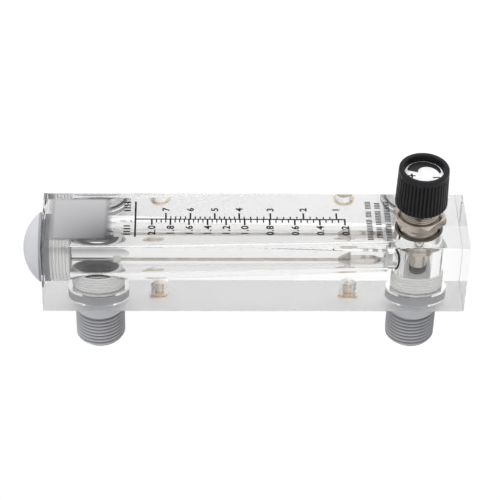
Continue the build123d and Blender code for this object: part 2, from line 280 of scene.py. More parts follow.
class Graph:
    """Short ways to build the nodes of a material, a group or a world."""

    def __init__(self, tree: bpy.types.NodeTree) -> None:
        """Keep the tree that the nodes are added to."""
        self.tree = tree

    def feed(self, value: object, target: Socket) -> None:
        """Link a socket to an input, or set the input to a plain value.

        Args:
            value: The socket or the value.
            target: The input.
        """
        if isinstance(value, Socket):
            self.tree.links.new(value, target)
        else:
            target.default_value = value

    def add(self, kind: str, **values: object) -> bpy.types.Node:
        """Add a shader node and set its properties and inputs.

        Args:
            kind: The node's type, without the words ShaderNode.
            values: Values by property name, or values and sockets by input name, with spaces
                written as underscores.

        Returns:
            The new node.
        """
        node = self.tree.nodes.new("ShaderNode" + kind)
        for key, value in values.items():
            if hasattr(node, key):
                setattr(node, key, value)
            else:
                self.feed(value, node.inputs[key.replace("_", " ")])
        return node

    def math(self, operation: str, first: object, second: object = 0.0, clamp: bool = False) -> Socket:
        """Add a math node on two values or sockets.

        Args:
            operation: The operation's name.
            first: A number or a socket.
            second: A number or a socket.
            clamp: Whether the result is kept between 0 and 1.

        Returns:
            The node's output.
        """
        node = self.add("Math", operation=operation, use_clamp=clamp)
        self.feed(first, node.inputs[0])
        self.feed(second, node.inputs[1])
        return node.outputs[0]

    def noise(self, **values: object) -> Socket:
        """Give the value of a noise with these settings."""
        return self.add("TexNoise", **values).outputs["Fac"]

    def split(self, vector: Socket) -> Outputs:
        """Give the X, Y and Z of a vector."""
        return self.add("SeparateXYZ", Vector=vector).outputs

    def radius(self, parts: Outputs) -> Socket:
        """Give a split vector's distance from the Z axis."""
        across, along = (self.math("MULTIPLY", parts[axis], parts[axis]) for axis in "XY")
        return self.math("SQRT", self.math("ADD", across, along))

    def mix(self, mask: Socket, under: object, over: object) -> Socket:
        """Give one colour where a mask is 0 and another where it is 1."""
        return self.add("Mix", data_type="RGBA", Factor=mask, A=under, B=over).outputs["Result"]

    def ramp(self, level: Socket, stops: Sequence[tuple[float, Colour]]) -> Socket:
        """Turn a value into a colour.

        Args:
            level: The value.
            stops: Pairs of value and colour, from low to high.

        Returns:
            The colour.
        """
        node = self.add("ValToRGB", Fac=level)
        elements = node.color_ramp.elements
        while len(elements) < len(stops):
            elements.new(0.5)
        for element, (place, colour) in zip(elements, stops):
            element.position = place
            element.color = (*colour, 1.0)
        return node.outputs["Color"]


class PatternGroup(Graph):
    """A shader group that finishes share, while it is built."""

    def __init__(self, name: str, inputs: dict[str, float], outputs: Sequence[str]) -> None:
        """Start the group with its sockets.

        Args:
            name: The group's name.
            inputs: Number inputs and their defaults; every group also has a Vector input.
            outputs: Names of the number outputs.
        """
        super().__init__(bpy.data.node_groups.new(name, "ShaderNodeTree"))
        new_socket = self.tree.interface.new_socket
        new_socket(name="Vector", in_out="INPUT", socket_type="NodeSocketVector")
        for label, value in inputs.items():
            new_socket(name=label, in_out="INPUT", socket_type="NodeSocketFloat").default_value = value
        for label in outputs:
            new_socket(name=label, in_out="OUTPUT", socket_type="NodeSocketFloat")
        self.given = self.tree.nodes.new("NodeGroupInput").outputs

    def give(self, **results: Socket) -> bpy.types.NodeTree:
        """Link the group's outputs.

        Args:
            results: Sockets by output name.

        Returns:
            The finished group.
        """
        ends = self.tree.nodes.new("NodeGroupOutput").inputs
        for label, result in results.items():
            self.feed(result, ends[label])
        return self.tree


class Pattern(Enum):
    """A shader group that several finishes share, by its name."""

    GRAIN = "moulded_grain"
    TURNING = "turning_rings"
    THREAD = "thread_masks"

    def tree(self) -> bpy.types.NodeTree:
        """Give the group, which is built when the first finish asks for it."""
        builders = {Pattern.GRAIN: self._grain, Pattern.TURNING: self._turning, Pattern.THREAD: self._thread}
        return bpy.data.node_groups.get(self.value) or builders[self]()

    def _grain(self) -> bpy.types.NodeTree:
        """Build the fine satin grain of a moulded surface, with a slow drift of tone.

        Returns:
            The group, with the grain's height and the drift from 0 to 1.
        """
        group = PatternGroup(self.value, {"Scale": 2500.0, "Drift Scale": 60.0}, ("Height", "Drift"))
        given = group.given
        fine = group.noise(Vector=given["Vector"], Scale=given["Scale"], Detail=3.0, Roughness=0.6)
        slow = group.noise(Vector=given["Vector"], Scale=given["Drift Scale"], Detail=2.0, Roughness=0.5)
        return group.give(Height=fine, Drift=slow)

    def _turning(self) -> bpy.types.NodeTree:
        """Build the fine rings that a lathe tool leaves, which run round the mesh's own Z.

        Returns:
            The group, with the rings' height and a slow drift of tone.
        """
        group = PatternGroup(self.value, {"Ring Scale": 9000.0}, ("Height", "Tone"))
        given = group.given
        parts = group.split(given["Vector"])
        line = group.math("ADD", group.radius(parts), parts["Z"])
        rings = group.noise(noise_dimensions="1D", W=line, Scale=given["Ring Scale"], Detail=2.0,
                            Roughness=0.7)
        slow = group.noise(Vector=given["Vector"], Scale=260.0, Detail=2.0)
        return group.give(Height=rings, Tone=slow)

    def _thread(self) -> bpy.types.NodeTree:
        """Build the masks of a thread about the mesh's own Z: its stretch, and its roots within it.

        Returns:
            The group, with both masks and the radius.
        """
        group = PatternGroup(self.value, {"Root": 0.0095, "Crest": 0.0105, "Start": 0.0, "End": 1.0},
                             ("Stretch", "Roots", "Radius"))
        given = group.given
        parts = group.split(given["Vector"])
        radius = group.radius(parts)
        depth = group.math("SUBTRACT", given["Crest"], radius)
        whole = group.math("SUBTRACT", given["Crest"], given["Root"])
        above = group.math("GREATER_THAN", parts["Z"], given["Start"])
        below = group.math("LESS_THAN", parts["Z"], given["End"])
        stretch = group.math("MULTIPLY", above, below)
        roots = group.math("MULTIPLY", stretch, group.math("DIVIDE", depth, whole, clamp=True))
        return group.give(Stretch=stretch, Roots=roots, Radius=radius)


class Dresser(Graph):
    """One material with a Principled surface and the vector that its patterns read."""

    def __init__(self, name: str, base: Colour, **sockets: float) -> None:
        """Start the material.

        Args:
            name: The material's name.
            base: Its colour, in linear light.
            sockets: Constant values of the surface's sockets, with spaces written as underscores.
        """
        self.material = bpy.data.materials.new(name)
        self.material.use_nodes = True
        super().__init__(self.material.node_tree)
        self.surface = self.tree.nodes["Principled BSDF"].inputs
        self.set(Base_Color=(*base, 1.0), **sockets)
        self.where = self.add("TexCoord").outputs["Object"]

    def set(self, **values: object) -> None:
        """Set or link sockets of the surface, named with spaces written as underscores."""
        for key, value in values.items():
            self.feed(value, self.surface[key.replace("_", " ")])

    def centred(self, turn: Turn) -> Socket:
        """Give Object coordinates with their Z on a turned piece's axis.

        Args:
            turn: The line that the piece is spun about.

        Returns:
            The vector for a pattern on that piece.
        """
        place, turn_by, _ = turn.place.decompose()
        node = self.add("Mapping", vector_type="TEXTURE", Vector=self.where, Location=place,
                        Rotation=turn_by.to_euler())
        return node.outputs["Vector"]

    def pattern(self, pattern: Pattern, vector: Socket, **values: float) -> Outputs:
        """Place a shared group in the material, set its inputs and give its outputs."""
        return self.add("Group", node_tree=pattern.tree(), Vector=vector, **values).outputs

    def thread_masks(self, turn: Turn, thread: ScrewThread) -> Outputs:
        """Give the masks of one thread: its stretch, its roots and the radius.

        Args:
            turn: The line that it runs round.
            thread: The thread.

        Returns:
            The outputs of the masks' group.
        """
        return self.pattern(Pattern.THREAD, self.centred(turn), Root=thread.root * MM,
                            Crest=thread.crest * MM, Start=thread.start * MM, End=thread.end * MM)

    def relieve(self, height: Socket, distance: float) -> None:
        """Feed a height to the surface's normal, with the relief's depth in metres."""
        bump = self.add("Bump", Height=height, Distance=distance, Strength=1.0)
        self.set(Normal=bump.outputs["Normal"])

    def roughen(self, mask: Socket, low: float, high: float) -> None:
        """Vary the roughness with a mask from 0 to 1."""
        ends = self.add("MapRange", Value=mask, To_Min=low, To_Max=high)
        self.set(Roughness=ends.outputs["Result"])


def tinted(base: Colour, by: float) -> Colour:
    """Give a colour made lighter or darker by a factor."""
    return tuple(min(1.0, channel * by) for channel in base)


@dataclass(frozen=True)
class ClearAcrylic:
    """Clear acrylic, polished outside, sawn at the back and bored inside.

    Attributes:
        tint: Colour of the light that passes.
        ior: Refractive index.
        smear_scale: Scale of the smears from handling.
        smear_range: The noise's values where a smear starts and where it is full.
        smear_rough: Roughness of a full smear.
        smear_relief: Height of a full smear, in metres.
        back: Depth at which the sawn back face starts.
        back_frost: Roughness of that face.
        ring_scale: Scale of the tool's rings in a bore.
        ring_rough: Shares of a bore's roughness that the rings vary between.
    """

    tint: Colour = (0.99, 0.99, 0.985)
    ior: float = 1.49
    smear_scale: float = 55.0
    smear_range: Span = (0.5, 0.8)
    smear_rough: float = 0.03
    smear_relief: float = 2e-6
    back: float = 17.4
    back_frost: float = 0.85
    ring_scale: float = 1400.0
    ring_rough: Span = (0.6, 1.4)

    def polished(self) -> Material:
        """Make the outer faces: polished, with faint handling marks, and frosted at the back.

        Returns:
            The material.
        """
        dress = Dresser("acrylic_polished", self.tint, Transmission_Weight=1.0, IOR=self.ior)
        smear = dress.noise(Vector=dress.where, Scale=self.smear_scale, Detail=3.0, Distortion=0.6)
        low, high = self.smear_range
        marks = dress.add("MapRange", Value=smear, From_Min=low, From_Max=high).outputs["Result"]
        sawn = dress.math("GREATER_THAN", dress.split(dress.where)["Y"], self.back * MM)
        frost = dress.math("MULTIPLY", sawn, self.back_frost)
        dress.set(Roughness=dress.math("MAXIMUM", frost, dress.math("MULTIPLY", marks, self.smear_rough)))
        dress.relieve(marks, self.smear_relief)
        return dress.material

    def bored(self, name: str, turn: Turn, roughness: float, relief: float) -> Material:
        """Make a bored or tapped wall, with the tool's rings round its axis.

        Args:
            name: The material's name.
            turn: The line that the hole runs along.
            roughness: Roughness of the cut.
            relief: Height of the tool rings, in metres.

        Returns:
            The material.
        """
        dress = Dresser(name, self.tint, Transmission_Weight=1.0, IOR=self.ior)
        rings = dress.pattern(Pattern.TURNING, dress.centred(turn), Ring_Scale=self.ring_scale)
        dress.roughen(rings["Tone"], *(roughness * share for share in self.ring_rough))
        dress.relieve(rings["Height"], relief)
        return dress.material


@dataclass(frozen=True)
class MouldedPlastic:
    """Satin moulded plastic, and what every finish with a fine grain starts from.

    Attributes:
        name: The material's name.
        base: Its colour, in linear light.
        rough: Roughness in the grain's lows and on its highs.
        tints: How much darker and lighter the tone drifts.
        scales: Scale of the grain and of the drift.
        relief: Height of the grain, in metres.
        sheen: How much of the surroundings its surface mirrors.
    """

    name: str
    base: Colour
    rough: Span = (0.34, 0.48)
    tints: Span = (0.94, 1.05)
    scales: Span = (2600.0, 70.0)
    relief: float = 6e-6
    sheen: float = 0.5

    def layers(self, dress: Dresser) -> list[tuple[Socket, Colour]]:
        """Give the masks and tones that lie over the base: none on a plain finish."""
        return []

    def make(self) -> Material:
        """Make the material: its drifting tone, what lies over it, and its grain.

        Returns:
            The material.
        """
        dress = Dresser(self.name, self.base, Specular_IOR_Level=self.sheen)
        scale, drift_scale = self.scales
        grain = dress.pattern(Pattern.GRAIN, dress.where, Scale=scale, Drift_Scale=drift_scale)
        low, high = (tinted(self.base, by) for by in self.tints)
        colour = dress.ramp(grain["Drift"], ((0.35, low), (0.65, high)))
        for mask, tone in self.layers(dress):
            colour = dress.mix(mask, colour, (*tone, 1.0))
        dress.set(Base_Color=colour)
        dress.roughen(grain["Height"], *self.rough)
        dress.relieve(grain["Height"], self.relief)
        return dress.material


@dataclass(frozen=True, kw_only=True)
class ThreadedPlastic(MouldedPlastic):
    """Moulded plastic with a painted reflection on its screw in the block, and painted shade at its open
    thread's roots, in its bore and on a rim.

    Attributes:
        turn: The line that its threads run round.
        screw: The screw inside the block, which carries the painted reflection.
        pipe: The open thread, if the piece has one.
        bore: Radius within which the bore and mouth get painted shade.
        bore_shade: Share of the base colour that is left in the bore, as painted shade.
        root_shade: Share of the base colour that is left at the open thread's roots, as painted shade.
        gap_reflection: The colour of the painted reflection from the screw's roots out: white, as the
            thread's gap looks through the acrylic.
        fill: How steeply that white covers the screw from its roots outwards.
        crest: The colour of the screw's crests, which that white leaves bare: painted lighter than the base,
            as part of the same reflection.
        rim: Bottom and top of a rim that gets painted shade, if the piece has one.
        rim_shade: Share of the base colour that is left on that rim, as painted shade.
    """

    turn: Turn
    screw: ScrewThread
    pipe: ScrewThread | None = None
    bore: float = 0.0
    bore_shade: float = 0.3
    root_shade: float = 0.2
    gap_reflection: Colour = (0.95, 0.95, 0.94)
    fill: float = 5.0
    crest: Colour = (0.6, 0.6, 0.6)
    rim: Span | None = None
    rim_shade: float = 0.62

    def layers(self, dress: Dresser) -> list[tuple[Socket, Colour]]:
        """Give the masks of the screw, the open thread, the bore and the rim, with their tones.

        Args:
            dress: The material, while it is built.

        Returns:
            Pairs of mask and tone, from the lowest layer up.
        """
        # Painted reflection on the screw in the block: grey over its crests and white from its roots out,
        # for the thread's gap seen through the acrylic.
        screw_masks = dress.thread_masks(self.turn, self.screw)
        gap_mask = dress.math("MULTIPLY", screw_masks["Roots"], self.fill, clamp=True)
        layers = [(screw_masks["Stretch"], self.crest), (gap_mask, self.gap_reflection)]
        if self.pipe:
            masks = dress.thread_masks(self.turn, self.pipe)
            # Painted shade inside the bore and mouth, within a radius.
            shaded_bore = dress.math("LESS_THAN", masks["Radius"], self.bore * MM)
            # Painted shade at the roots of the open thread.
            layers.append((masks["Roots"], tinted(self.base, self.root_shade)))
            layers.append((shaded_bore, tinted(self.base, self.bore_shade)))
        # Painted shade on the rim.
        if self.rim:
            low, high = self.rim
            band = dress.pattern(Pattern.THREAD, dress.centred(self.turn), Start=low * MM, End=high * MM)
            layers.append((band["Stretch"], tinted(self.base, self.rim_shade)))
        return layers


@dataclass(frozen=True)
class SealRubber(MouldedPlastic):
    """Moulded rubber, black unless it is given another colour."""

    name: str = "seal_rubber"
    base: Colour = (0.02, 0.02, 0.021)
    rough: Span = (0.5, 0.68)
    tints: Span = (0.8, 1.3)
    scales: Span = (4200.0, 200.0)
    relief: float = 5e-6
    sheen: float = 0.4


@dataclass(frozen=True)
class PrintedInk(MouldedPlastic):
    """Ink laid on the acrylic or the label, slightly uneven in gloss."""

    rough: Span = (0.3, 0.5)
    tints: Span = (0.9, 1.06)
    scales: Span = (3500.0, 300.0)
    relief: float = 2e-6


@dataclass(frozen=True, kw_only=True)
class PaintedShadeFilm(MouldedPlastic):
    """A translucent sheet on the scale face with soft edges, whose grey darkens to the lower left: painted
    shade that stands in for the shaded view through the block.

    Attributes:
        x_span: Its two sides.
        z_span: Its bottom and top.
        soft: How far its sides and its ends fade away.
        dark: The painted shade's colour at its dark corner, low on the left.
        curve: How late it darkens towards the left.
        least: Share of that darkening that its top has too.
    """

    x_span: Span
    z_span: Span
    name: str = "painted_shade_film"
    base: Colour = (0.31, 0.31, 0.315)
    rough: Span = (0.4, 0.55)
    tints: Span = (1.0, 1.0)
    scales: Span = (3500.0, 120.0)
    relief: float = 2e-6
    soft: Span = (2.0, 3.5)
    dark: Colour = (0.02, 0.02, 0.024)
    curve: float = 1.35
    least: float = 0.25

    def layers(self, dress: Dresser) -> list[tuple[Socket, Colour]]:
        """Fade the sheet at its edges and give its painted shade.

        Args:
            dress: The material, while it is built.

        Returns:
            The painted shade's mask and its tone.
        """
        parts = dress.split(dress.where)
        cover = 1.0
        shares = []
        for axis, (low, high), soft in zip("XZ", (self.x_span, self.z_span), self.soft):
            away = dress.math("ABSOLUTE", dress.math("SUBTRACT", parts[axis], (low + high) / 2 * MM))
            room = dress.math("SUBTRACT", (high - low) / 2 * MM, away)
            cover = dress.math("MULTIPLY", cover, dress.math("DIVIDE", room, soft * MM, clamp=True))
            below = dress.math("SUBTRACT", high * MM, parts[axis])
            shares.append(dress.math("DIVIDE", below, (high - low) * MM, clamp=True))
        dress.set(Alpha=cover)
        # Painted shade: darker towards the left and towards the bottom.
        across = dress.math("POWER", shares[0], self.curve)
        down = dress.math("ADD", dress.math("MULTIPLY", shares[1], 1.0 - self.least), self.least)
        return [(dress.math("MULTIPLY", across, down), self.dark)]


@dataclass(frozen=True)
class TurnedMetal:
    """Metal turned on a lathe, bare or plated.

    Attributes:
        name: The material's name.
        base: Its colour, in linear light.
        turn: The line that its tool rings run round.
        roughness: How dull it is.
        relief: Height of the rings, in metres.
        thread: A thread whose roots get painted shade, if the piece has one.
        root_shade: Share of the base colour that is left at those roots, as painted shade.
        tints: How much darker and lighter its tone drifts.
        ring_scale: Scale of the rings.
        rough_drift: How much smoother and duller the rings are than the mean.
    """

    name: str
    base: Colour
    turn: Turn
    roughness: float = 0.22
    relief: float = 2.5e-6
    thread: ScrewThread | None = None
    root_shade: float = 0.2
    tints: Span = (0.88, 1.08)
    ring_scale: float = 5200.0
    rough_drift: Span = (-0.06, 0.1)

    def make(self) -> Material:
        """Make the material.

        Returns:
            The material.
        """
        dress = Dresser(self.name, self.base, Metallic=1.0)
        rings = dress.pattern(Pattern.TURNING, dress.centred(self.turn), Ring_Scale=self.ring_scale)
        low, high = (tinted(self.base, by) for by in self.tints)
        colour = dress.ramp(rings["Tone"], ((0.3, low), (0.7, high)))
        # Painted shade at the thread's roots.
        if self.thread:
            roots = dress.thread_masks(self.turn, self.thread)["Roots"]
            colour = dress.mix(roots, colour, (*tinted(self.base, self.root_shade), 1.0))
        dress.set(Base_Color=colour)
        dress.roughen(rings["Height"], *(self.roughness + drift for drift in self.rough_drift))
        dress.relieve(rings["Height"], self.relief)
        return dress.material


@dataclass(frozen=True)
class PipePort:
    """A grey threaded pipe port, screwed into the block from the back."""

    bore_r: float = 6.25
    mouth_r: float = 9.4
    mouth_depth: float = 2.6
    flange_face: float = 12.5
    flange_r: float = 12.8
    flange_end: float = 16.7
    neck_r: float = 10.7
    neck_end: float = 28.5
    flange_ease: Span = (0.2, 0.15)
    neck_ease: Span = (0.3, 0.35)
    bore_ease: float = 0.5
    screw: ScrewThread = ScrewThread(10.22, 10.97, 3.1, 11.3, 1.35)
    end_ease: float = 0.4
    pipe: ScrewThread = ScrewThread(9.35, 10.48, 28.6, 44.9, 1.814, 0.12, 0.9, 1.05)
    seat_hole_r: float = 4.9
    seat_rise: float = 0.5
    seat_throat: float = 3.0
    lip_width: float = 0.8
    lip_ease: float = 0.1
    # How far past the seat port's bore its painted shade reaches.
    shade_depth: float = 0.1

    def _inner_end(self, with_seat: bool) -> Outline:
        """Give the outline of the end inside the block.

        Args:
            with_seat: Whether that end is the valve's seat.

        Returns:
            Points of (radius, height), from the bore outwards.
        """
        inner, edge_r = self.screw.start, self.screw.root - self.end_ease
        if not with_seat:
            return [(self.bore_r, inner + self.mouth_depth), (self.mouth_r, inner), (edge_r, inner)]
        face, hole_r, ease = inner + self.seat_rise, self.seat_hole_r, self.lip_ease
        throat, lip_r = face + self.seat_throat, hole_r + self.lip_width
        return [(self.bore_r, throat), (hole_r, throat), (hole_r, inner + ease), (hole_r + ease, inner),
                (lip_r - ease, inner), (lip_r, inner + ease), (lip_r, face), (edge_r, face)]

    def build(self, name: str, turn: Turn, node: str, with_seat: bool) -> None:
        """Turn the port, cut its two threads and dress it.

        Args:
            name: The piece's name.
            turn: The line that it lies on.
            node: The solid that it stands for.
            with_seat: Whether its inner end is the valve's seat.
        """
        near, far = self.flange_ease
        fillet, shoulder = self.neck_ease
        mesh = turned([
            *self._inner_end(with_seat), *self.screw.rows(),
            (self.screw.root, self.flange_face), (self.flange_r - near, self.flange_face),
            (self.flange_r, self.flange_face + near), (self.flange_r, self.flange_end - far),
            (self.flange_r - far, self.flange_end), (self.neck_r + fillet, self.flange_end),
            (self.neck_r, self.flange_end + fillet), (self.neck_r, self.neck_end - shoulder),
            (self.neck_r - shoulder, self.neck_end), *self.pipe.rows(),
            (self.bore_r + self.bore_ease, self.pipe.end), (self.bore_r, self.pipe.end - self.bore_ease),
        ])
        self.screw.cut(mesh)
        self.pipe.cut(mesh)
        # Painted shade in the bore and mouth within this radius; the screw gets the painted reflection and
        # the pipe thread painted shade at its roots.
        shaded_r = self.bore_r + self.shade_depth if with_seat else self.mouth_r
        grey = ThreadedPlastic(f"grey_abs_{node}", GREY_ABS, turn=turn, screw=self.screw, pipe=self.pipe,
                               bore=shaded_r)
        fit_piece(make_object(name, mesh, grey.make(), turn.place), "meter", "grey_abs", node)


@dataclass(frozen=True)
class DomedPlug:
    """The grey domed plug that closes the top end and grips the guide rod."""

    dome_r: float = 14.5
    rim_bottom: float = 176.0
    rim: float = 1.2
    rim_ease: Span = (0.2, 0.25)
    rise: float = 7.0
    steps: int = 18
    # How far below the rim the painted shade on the rim starts.
    rim_shade_drop: float = 0.1
    shank_r: float = 11.0
    wall: float = 2.6
    web_face: float = 170.5
    boss_r: float = 3.0
    rod_hole_r: float = 1.25
    rod_hole_top: float = 164.8
    screw: ScrewThread = ScrewThread(10.22, 10.97, 164.4, 172.8, 1.35)

    def _dome(self, base: float) -> list[Span]:
        """Give the outline of the dome.

        Args:
            base: The height that it rises from.

        Returns:
            Points of (radius, height) on the ball, from the rim to just short of the top.
        """
        ball = (self.dome_r ** 2 + self.rise ** 2) / (2 * self.rise)
        reach = math.asin(self.dome_r / ball)
        turns = [reach * (1 - index / self.steps) for index in range(self.steps)]
        return [(ball * math.sin(turn), base + self.rise - ball + ball * math.cos(turn)) for turn in turns]

    def build(self) -> None:
        """Turn the plug's shell and the boss inside it, cut its screw thread and dress it."""
        base, end = self.rim_bottom + self.rim, self.screw.start
        inside_r = self.screw.root - self.wall
        low, high = self.rim_ease
        mesh = turned([
            (0.0, self.web_face), (self.boss_r, self.web_face), (self.boss_r, end), (self.rod_hole_r, end),
            (self.rod_hole_r, self.rod_hole_top), (0.0, self.rod_hole_top),
        ], 48)
        shell = turned([
            (0.0, self.web_face), (inside_r, self.web_face), (inside_r, end), *self.screw.rows(),
            (self.shank_r, self.screw.end), (self.shank_r, self.rim_bottom),
            (self.dome_r - low, self.rim_bottom), (self.dome_r, self.rim_bottom + low),
            (self.dome_r, base - high), *self._dome(base), (0.0, base + self.rise),
        ])
        self.screw.cut(shell)
        add_mesh(mesh, shell)
        turn = Turn.UP_THE_BORE
        # Painted reflection on the screw and painted shade on the rim.
        grey = ThreadedPlastic("grey_abs_plug", GREY_ABS, turn=turn, screw=self.screw,
                               rim=(self.rim_bottom - self.rim_shade_drop, base))
        plug = make_object("domed_plug", mesh, grey.make(), turn.place)
        fit_piece(plug, "meter", "grey_abs", "outlet_plug")


@dataclass(frozen=True)
class PanelInsert:
    """A collared brass insert, flush with the back face, screwed into the block by its own thread."""

    collar_r: float = 4.5
    collar_thick: float = 1.2
    hole_r: float = 2.5
    floor_thick: float = 0.8
    ease: float = 0.3
    collar_ease: float = 0.15
    thread: ScrewThread = ScrewThread(3.25, 3.7, 9.9, 14.6, 1.16, 0.2, 0.3)

    def build(self, name: str, turn: Turn, node: str) -> None:
        """Turn the insert, cut its thread and dress it.

        Args:
            name: The piece's name.
            turn: The line that it lies on.
            node: The solid that it stands for.
        """
        thread, collar_face = self.thread, BACK - self.collar_thick
        floor = thread.start + self.floor_thick
        mesh = turned([
            (0.0, thread.start), (thread.root - self.ease, thread.start), *thread.rows(),
            (thread.crest, thread.end), (thread.crest, collar_face), (self.collar_r, collar_face),
            (self.collar_r, BACK - self.collar_ease), (self.collar_r - self.collar_ease, BACK),
            (self.hole_r + self.ease, BACK), (self.hole_r, BACK - self.ease),
            (self.hole_r, floor), (0.0, floor),
        ])
        thread.cut(mesh)
        brass = TurnedMetal(f"brass_{node}", BRASS, turn, 0.24).make()
        fit_piece(make_object(name, mesh, brass, turn.place), "meter", "brass", node)


@dataclass
class ClearBlock:
    """The clear block, with its bores, taps, counterbores and pockets cut out of it."""

    width: float = 35.0
    height: float = 176.0
    edge: float = 0.3
    past: float = 1.0
    passage_r: float = 4.45
    floor_height: float = 32.6
    taper_low_r: float = 5.95
    taper_high_r: float = 10.1
    taper_top: float = 138.0
    taper_ease: float = 0.3
    chamber_r: float = 10.2
    tap_gap: float = 0.1
    plug_ring_r: float = 12.22
    plug_ring_depth: float = 1.2
    port_recess_r: float = 12.85
    front_wall: float = 6.5
    front_hole_r: float = 8.5
    pocket_r: float = 3.75
    pocket_length: float = 8.2
    pocket_point: float = 1.3
    point_round: Span = (0.5, 0.8)
    plug: DomedPlug = DomedPlug()
    port: PipePort = PipePort()
    insert: PanelInsert = PanelInsert()
    smooth_cut: Span = (0.012, 1e-6)
    drilled_cut: Span = (0.25, 8e-6)

    def _outer(self) -> Mesh:
        """Make the outside of the block with its edges broken.

        Returns:
            The block before it is bored.
        """
        mesh = bmesh.new()
        add_box(mesh, (-self.width / 2, self.width / 2), (FRONT, BACK), (0.0, self.height))
        bmesh.ops.bevel(mesh, geom=mesh.edges[:], offset=self.edge * MM, segments=2, profile=0.5,
                        affect="EDGES", material=-1)
        return mesh

    def _float_bore(self) -> Mesh:
        """Make the cutter for the passage, the taper, the outlet chamber and the plug's tap.

        Returns:
            The cutter.
        """
        shank, ring = self.plug.shank_r - CONTACT, self.plug_ring_r - CONTACT
        lip, above = self.height - self.plug_ring_depth, self.height + self.past
        bottom = Turn.THROUGH_THE_INLET.value
        tap = self.plug.screw.tap()
        mesh = turned([
            (0.0, bottom), (self.passage_r, bottom), (self.passage_r, self.floor_height),
            (self.taper_low_r, self.floor_height), (self.taper_high_r, self.taper_top),
            (self.chamber_r, self.taper_top + self.taper_ease), (self.chamber_r, tap.start - self.tap_gap),
            *tap.rows(), (shank, tap.end + CONTACT), (shank, lip), (ring, lip), (ring, above), (0.0, above),
        ])
        tap.cut(mesh)
        return mesh

    def _port_bore(self, *inner_end: Span) -> Mesh:
        """Make the cutter for a port's tap and counterbore, and for what lies further in.

        Args:
            inner_end: Points of (radius, height) from the axis to the tap.

        Returns:
            The cutter, tight on the flange and open beyond it.
        """
        tap, tight = self.port.screw.tap(), self.port.flange_r - CONTACT
        mesh = turned([
            *inner_end, *tap.rows(), (tight, tap.end), (tight, self.port.flange_end),
            (self.port_recess_r, self.port.flange_end), (self.port_recess_r, BACK + self.past),
            (0.0, BACK + self.past),
        ])
        tap.cut(mesh)
        return mesh

    def _inlet_bore(self) -> Mesh:
        """Make the cutter for the valve's hole and chamber and the inlet port's tap.

        Returns:
            The cutter.
        """
        hole, front, wall = self.front_hole_r - CONTACT, FRONT - self.past, FRONT + self.front_wall
        return self._port_bore((0.0, front), (hole, front), (hole, wall), (self.chamber_r, wall),
                               (self.chamber_r, self.port.screw.start - self.tap_gap))

    def _pocket(self) -> Mesh:
        """Make the cutter for an insert's pocket, with the drill's point at its end.

        Returns:
            The cutter.
        """
        floor = BACK - self.pocket_length
        across, along = self.point_round
        step, collar = BACK - self.insert.collar_thick + CONTACT, self.insert.collar_r - CONTACT
        return turned([
            (0.0, floor - self.pocket_point), (self.pocket_r * across, floor - self.pocket_point * along),
            (self.pocket_r, floor), (self.pocket_r, step), (collar, step), (collar, BACK + self.past),
            (0.0, BACK + self.past),
        ], 64)

    def build(self) -> None:
        """Cut the block and dress its outside and each of its bores."""
        acrylic = ClearAcrylic()
        block = make_object("clear_block", self._outer(), acrylic.polished())
        outlet_bore = self._port_bore((0.0, self.port.screw.start))
        tools = []
        for name, mesh, turn, finish in (
                ("float_bore", self._float_bore(), Turn.UP_THE_BORE, self.smooth_cut),
                ("outlet_bore", outlet_bore, Turn.THROUGH_THE_OUTLET, self.smooth_cut),
                ("inlet_bore", self._inlet_bore(), Turn.THROUGH_THE_INLET, self.smooth_cut),
                ("lower_pocket", self._pocket(), Turn.LOWER_INSERT, self.drilled_cut),
                ("upper_pocket", self._pocket(), Turn.UPPER_INSERT, self.drilled_cut)):
            wall = acrylic.bored("acrylic_" + name, turn, *finish)
            tools.append(make_object(name, mesh, wall, turn.place))
            cut = block.modifiers.new(name, "BOOLEAN")
            cut.operation = "DIFFERENCE"
            cut.solver = "EXACT"
            cut.material_mode = "TRANSFER"
            cut.object = tools[-1]
        graph = bpy.context.evaluated_depsgraph_get()
        data = bpy.data.meshes.new_from_object(block.evaluated_get(graph))
        block.modifiers.clear()
        block.data = data
        shade(data)
        for face in data.polygons:
            face.use_smooth = face.material_index > 0
        for tool in tools:
            bpy.data.objects.remove(tool)
        fit_piece(block, "meter", "clear_acrylic", "meter_block")


@dataclass
class FloatAssembly:
    """The guide rod and the float that slides up it."""

    rod_r: float = 1.2
    rod_span: Span = (31.6, 168.4)
    rod_ease: float = 0.2
    bottom: float = 35.4
    nose_r: float = 2.0
    nose_length: float = 2.9
    nose_ease: float = 0.3
    waist: Outline = ((-0.3, -0.5), (-0.05, 0.0), (0.0, 0.4))
    body_r: float = 3.55
    body_length: float = 10.0
    head_r: float = 6.1
    head_length: float = 4.5
    head_ease: float = 0.12
    crown_r: float = 1.9
    hole_r: float = 1.28

    def build(self) -> None:
        """Turn the rod and the float and dress them."""
        turn = Turn.UP_THE_BORE
        steel = TurnedMetal("turned_steel", FLOAT_STEEL, turn, 0.13).make()
        ground = TurnedMetal("ground_rod", STEEL, turn, 0.16, 1e-6).make()
        (low, high), tip_r = self.rod_span, self.rod_r - self.rod_ease
        bar = turned([(0.0, low), (tip_r, low), (self.rod_r, low + self.rod_ease),
                      (self.rod_r, high - self.rod_ease), (tip_r, high), (0.0, high)], 48)
        rod = make_object("guide_rod_bar", bar, ground, turn.place)
        fit_piece(rod, "meter", "stainless_steel", "guide_rod")
        body = self.bottom + self.nose_length
        shoulder = body + self.body_length
        top = shoulder + self.head_length
        mesh = turned([
            (self.hole_r, self.bottom), (self.nose_r - self.nose_ease, self.bottom),
            (self.nose_r, self.bottom + self.nose_ease),
            *((self.body_r + out, body + up) for out, up in self.waist), (self.body_r, shoulder),
            (self.head_r - self.head_ease, shoulder), (self.head_r, shoulder + self.head_ease),
            (self.crown_r, top), (self.hole_r, top),
        ])
        piece = make_object("turned_float", mesh, steel, turn.place)
        fit_piece(piece, "float", "stainless_steel", "float")


